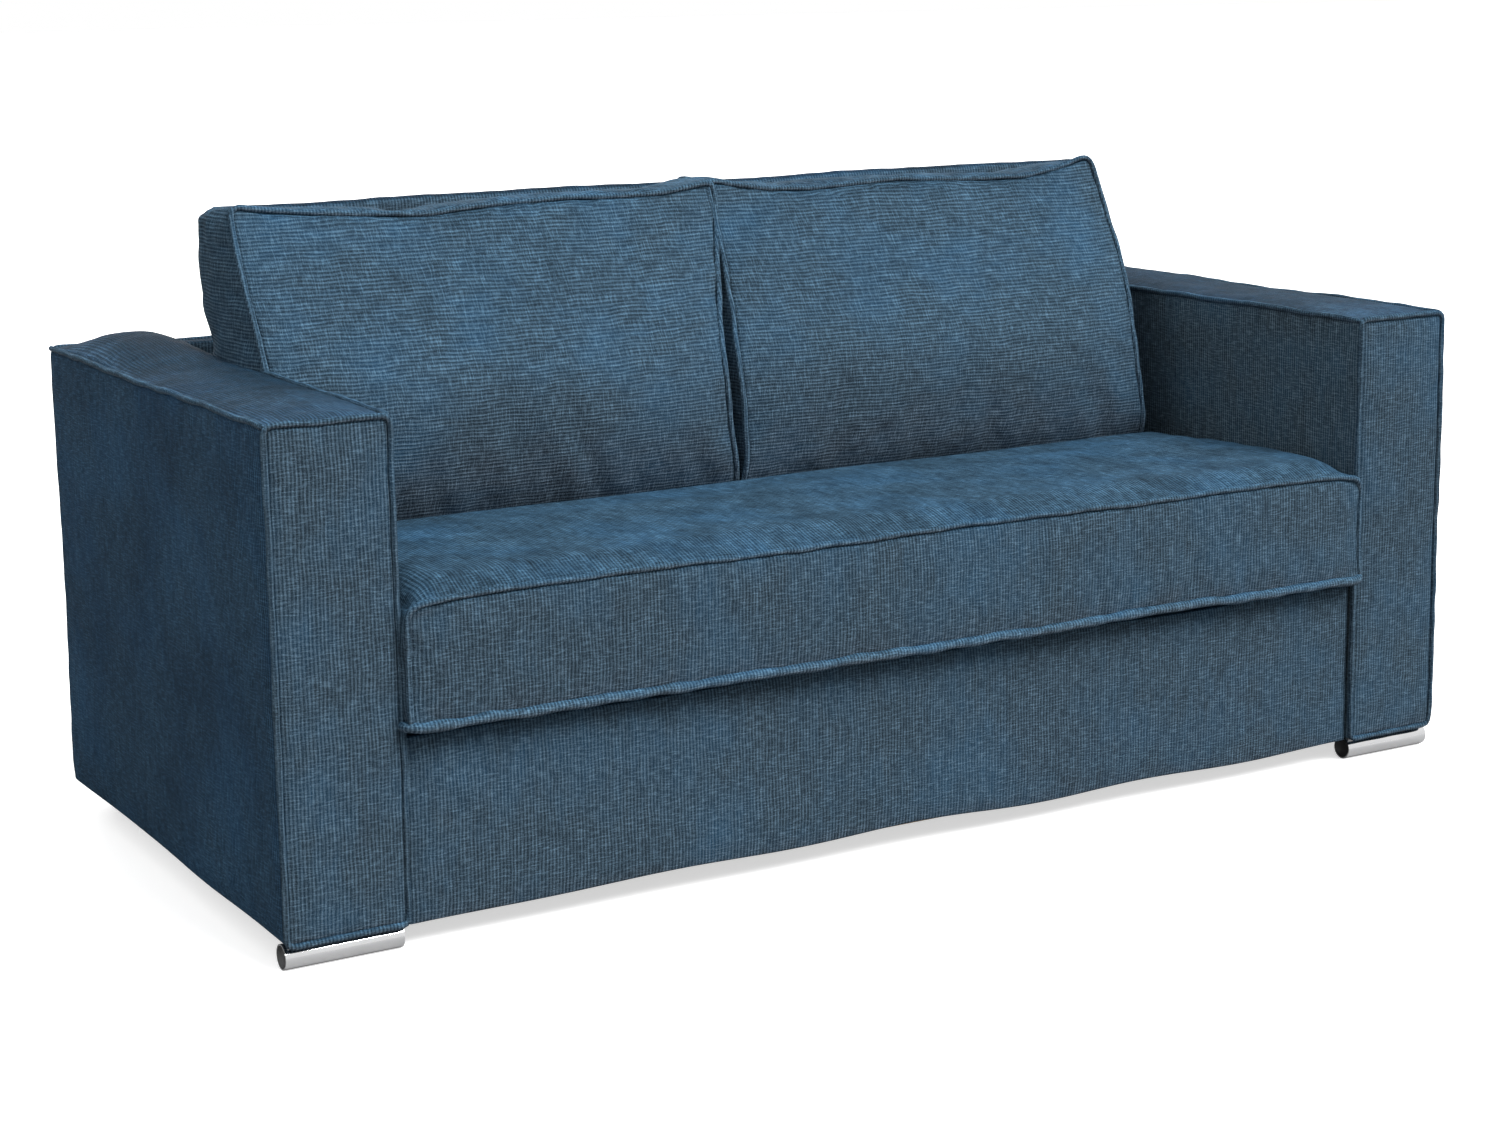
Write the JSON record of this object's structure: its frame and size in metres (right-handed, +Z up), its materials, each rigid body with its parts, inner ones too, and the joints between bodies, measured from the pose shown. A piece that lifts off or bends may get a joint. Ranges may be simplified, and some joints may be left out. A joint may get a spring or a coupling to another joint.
{
  "type": "sofa bed",
  "caption": "Upholstered sofa with box arms, loose wedge back cushions and a one-piece seat cushion that unfolds forwards into a double bed.",
  "frame": {"origin": "on the floor, under the middle of the closed sofa's box", "axes": "+X to the viewer's right when facing the front; +Y from the front to the back; +Z up"},
  "size_m": [1.88, 0.89, 0.892],
  "materials": {
    "upholstery": "matte",
    "cushion_fabric": "matte",
    "foam": "matte",
    "mattress_ticking": "matte",
    "chipboard": "matte",
    "softwood": "matte",
    "beech_slats": "satin",
    "dust_cover": "matte",
    "chrome": "polished",
    "zinc_steel": "satin",
    "painted_steel": "satin",
    "black_plastic": "matte"
  },
  "bodies": {
    "root": {"back_board": "chipboard", "back_cover": "upholstery", "base_pins": "zinc_steel", "dust_cover": "dust_cover", "front_cross_rail": "softwood", "front_foot_plates": "zinc_steel", "front_foot_plugs": "black_plastic", "front_panel_board": "chipboard", "front_panel_cover": "upholstery", "left_arm_cover": "upholstery", "left_arm_inner_board": "chipboard", "left_arm_outer_board": "chipboard", "left_arm_studs": "chipboard", "left_arm_top_board": "chipboard", "left_front_foot": "chrome", "left_rear_foot": "black_plastic", "left_side_plate": "zinc_steel", "rear_cross_rail": "softwood", "right_arm_cover": "upholstery", "right_arm_inner_board": "chipboard", "right_arm_outer_board": "chipboard", "right_arm_studs": "chipboard", "right_arm_top_board": "chipboard", "right_front_foot": "chrome", "right_rear_foot": "black_plastic", "right_side_plate": "zinc_steel", "side_plate_bolts": "zinc_steel"},
    "left_front_link": {"left_front_link": "zinc_steel"},
    "right_front_link": {"right_front_link": "zinc_steel"},
    "left_rear_link": {"left_rear_link": "zinc_steel"},
    "right_rear_link": {"right_rear_link": "zinc_steel"},
    "head_section": {"head_cross_tubes": "painted_steel", "head_hinge_brackets": "painted_steel", "head_mattress": "mattress_ticking", "head_pins": "zinc_steel", "head_side_rails": "painted_steel", "head_slats": "beech_slats"},
    "seat_section": {"seat_cross_tubes": "painted_steel", "seat_cushion": "cushion_fabric", "seat_cushion_core": "foam", "seat_hinge_brackets": "painted_steel", "seat_hinge_ears": "painted_steel", "seat_hinge_pins": "zinc_steel", "seat_mattress": "mattress_ticking", "seat_side_rails": "painted_steel", "seat_slats": "beech_slats"},
    "back_section": {"back_side_rails": "painted_steel", "back_cross_tubes": "painted_steel", "back_slats": "beech_slats", "back_hinge_ears": "painted_steel", "back_mattress": "mattress_ticking", "back_sleeve": "upholstery", "back_cushion_left": "cushion_fabric", "back_cushion_right": "cushion_fabric", "back_cushion_cores": "foam"},
    "foot_section": {"foot_mattress": "mattress_ticking"},
    "left_bed_leg": {"left_bed_leg": "painted_steel", "left_bed_leg_glide": "black_plastic"},
    "right_bed_leg": {"right_bed_leg": "painted_steel", "right_bed_leg_glide": "black_plastic"}
  },
  "joints": [
    {"name": "bed_opening", "type": "hinge", "parent": "root", "child": "left_front_link", "pos_m": [-0.755, -0.245, 0.166], "axis": [1, 0, 0], "range_deg": [0, 90]},
    {"name": "right_front_link_swing", "type": "hinge", "parent": "root", "child": "right_front_link", "pos_m": [0.755, -0.245, 0.166], "axis": [1, 0, 0], "range_deg": [0, 90]},
    {"name": "left_rear_link_swing", "type": "hinge", "parent": "root", "child": "left_rear_link", "pos_m": [-0.755, 0.055, 0.166], "axis": [1, 0, 0], "range_deg": [0, 90]},
    {"name": "right_rear_link_swing", "type": "hinge", "parent": "root", "child": "right_rear_link", "pos_m": [0.755, 0.055, 0.166], "axis": [1, 0, 0], "range_deg": [0, 90]},
    {"name": "head_section_level", "type": "hinge", "parent": "left_front_link", "child": "head_section", "pos_m": [-0.755, -0.06904, 0.10984], "axis": [1, 0, 0], "range_deg": [-90, 0]},
    {"name": "seat_section_fold", "type": "hinge", "parent": "head_section", "child": "seat_section", "pos_m": [0, -0.38, 0.19], "axis": [1, 0, 0], "range_deg": [0, 180]},
    {"name": "back_section_fold", "type": "hinge", "parent": "seat_section", "child": "back_section", "pos_m": [0, 0.252, 0.27], "axis": [1, 0, 0], "range_deg": [-90, 0]},
    {"name": "foot_section_fold", "type": "hinge", "parent": "back_section", "child": "foot_section", "pos_m": [0, 0.331, 0.67], "axis": [1, 0, 0], "range_deg": [0, 180]},
    {"name": "left_bed_leg_swing", "type": "hinge", "parent": "seat_section", "child": "left_bed_leg", "pos_m": [-0.69, 0.205, 0.299], "axis": [0, -1, 0], "range_deg": [0, 90]},
    {"name": "right_bed_leg_swing", "type": "hinge", "parent": "seat_section", "child": "right_bed_leg", "pos_m": [0.69, 0.205, 0.299], "axis": [0, 1, 0], "range_deg": [0, 90]}
  ],
  "couplings": [
    {"joint": "right_front_link_swing", "follows": "bed_opening", "ratio": 1},
    {"joint": "left_rear_link_swing", "follows": "bed_opening", "ratio": 1},
    {"joint": "right_rear_link_swing", "follows": "bed_opening", "ratio": 1},
    {"joint": "head_section_level", "follows": "bed_opening", "ratio": -1},
    {"joint": "seat_section_fold", "follows": "bed_opening", "ratio": 2},
    {"joint": "back_section_fold", "follows": "bed_opening", "ratio": -1},
    {"joint": "foot_section_fold", "follows": "bed_opening", "ratio": 2},
    {"joint": "left_bed_leg_swing", "follows": "bed_opening", "ratio": 1},
    {"joint": "right_bed_leg_swing", "follows": "bed_opening", "ratio": 1}
  ]
}
